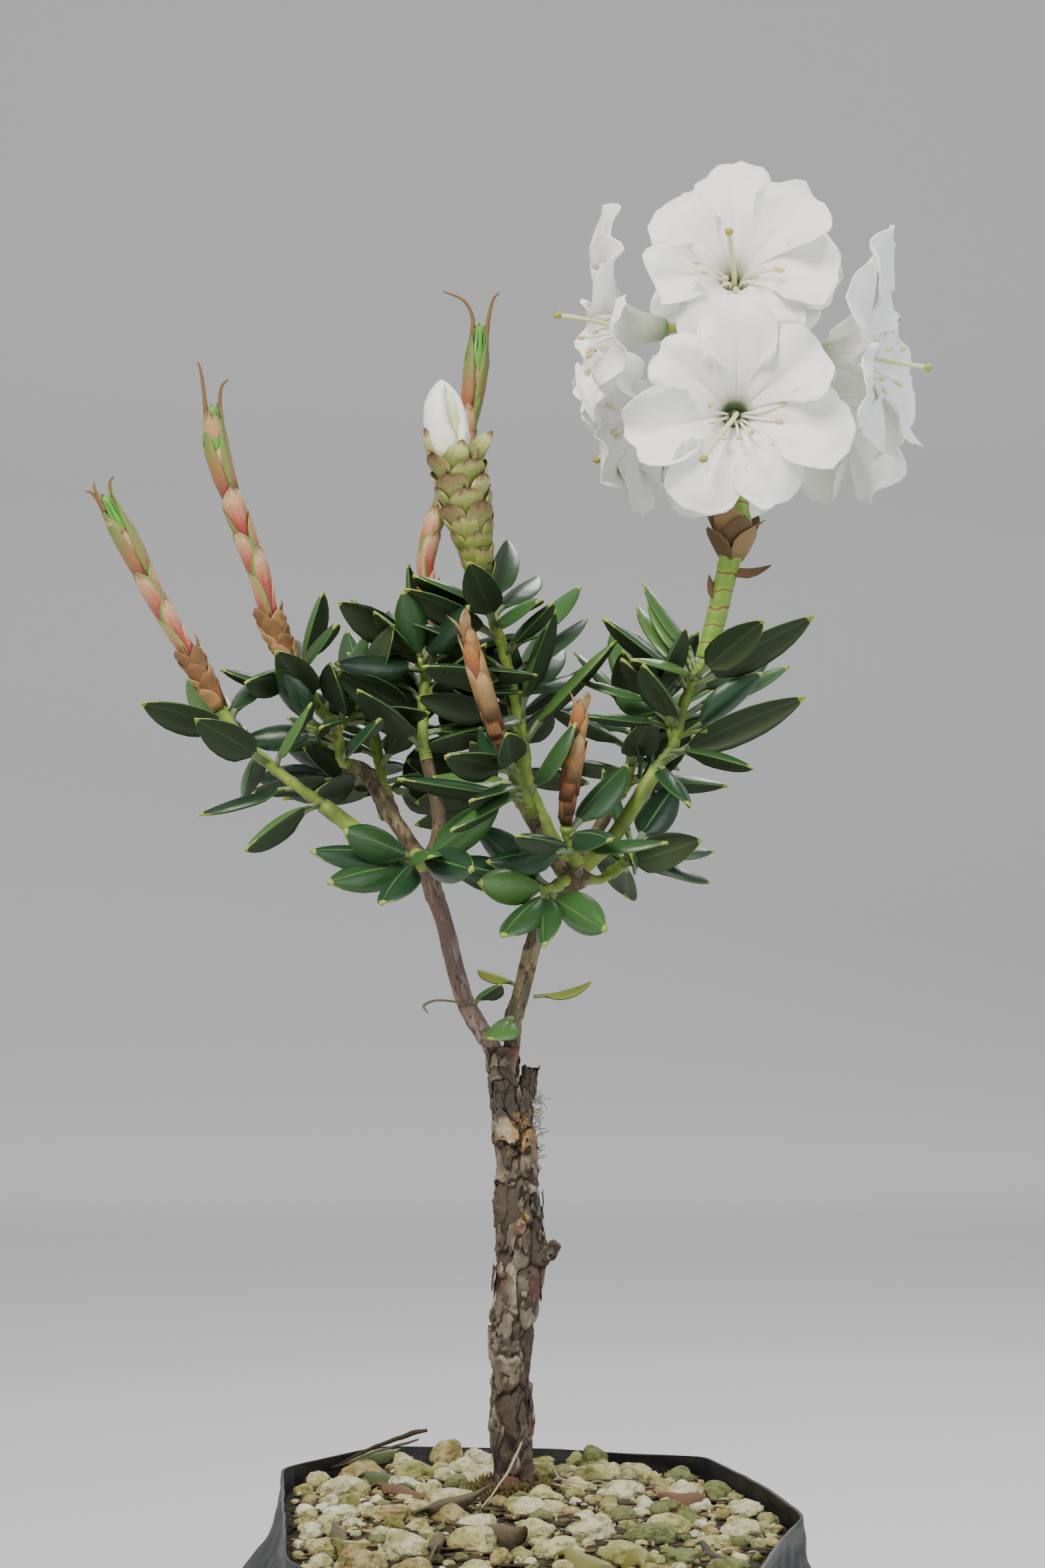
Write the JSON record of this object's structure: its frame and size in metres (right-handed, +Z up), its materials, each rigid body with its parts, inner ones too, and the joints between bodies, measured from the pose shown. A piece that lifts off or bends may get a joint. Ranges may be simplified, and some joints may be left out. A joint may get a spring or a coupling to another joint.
{
  "type": "potted rhododendron",
  "caption": "Small rhododendron in a soft black grow bag: a low-forking trunk, whorled leaves, red new shoots, an opening flower cone and an open truss of white blooms.",
  "frame": {"origin": "middle of the bag's flat underside", "axes": "+Z up, -Y towards the face that shows the open truss at the upper right, +X to that face's right"},
  "size_m": [0.2495, 0.2242, 0.5564],
  "materials": {
    "bag_film": "matte black polythene film, creased and dusty",
    "potting_mix": "pumice lumps over dark mix, with moss and litter",
    "old_bark": "rough peeling plates of grey-brown bark",
    "young_bark": "thin taupe bark with leaf scars",
    "green_stem": "smooth green stem with fine fuzz",
    "leaf": "dark glossy leaf with sunken veins",
    "yellow_leaf": "aged yellow-green leaf",
    "shoot_bract": "salmon and red bracts with green fuzzy margins",
    "papery_bract": "dry papery brown bracts",
    "cone_scale": "waxy pale yellow-green scales with brown tips",
    "truss_green": "lime green flower stem with brown ring scars",
    "petal": "thin white petal with a soft sheen"
  },
  "bodies": {
    "root": {"pot_bag": "bag_film", "soil": "potting_mix", "trunk": "old_bark", "limb_left": "young_bark", "limb_right": "young_bark", "bough_far_left": "green_stem", "bough_left": "young_bark", "bough_upper_left": "young_bark", "bough_low_left": "young_bark", "bough_rear_left": "young_bark", "bough_centre": "green_stem", "bough_bud_upper": "young_bark", "bough_bud_lower": "young_bark", "bough_low_front": "green_stem", "bough_low_right": "green_stem", "bough_truss": "green_stem", "bough_rear_right": "young_bark", "bough_rear": "young_bark", "leaves_far_left": "leaf", "leaves_left": "leaf", "leaves_upper_left": "leaf", "leaves_low_left": "leaf", "leaves_rear_left": "leaf", "leaves_centre": "leaf", "leaves_bud_upper": "leaf", "leaves_bud_lower": "leaf", "leaves_low_front": "leaf", "leaves_low_right": "leaf", "leaves_truss": "leaf", "leaves_rear_right": "leaf", "leaves_rear": "leaf", "leaf_fork_front": "leaf", "leaf_fork_left": "leaf", "leaf_fork_back": "yellow_leaf", "leaf_fork_right": "yellow_leaf", "new_shoot_far_left": "shoot_bract", "new_shoot_left": "shoot_bract", "new_shoot_upper": "shoot_bract", "brown_bud_upper": "papery_bract", "brown_bud_lower": "papery_bract", "flower_cone": "cone_scale", "flower_bud": "petal", "truss_stem": "truss_green", "bloom_top": "petal", "bloom_front": "petal", "bloom_right": "petal", "bloom_left": "petal", "bloom_low_left": "petal", "bloom_rear_right": "petal", "bloom_rear_top": "petal", "bloom_rear": "petal"}
  },
  "joints": []
}
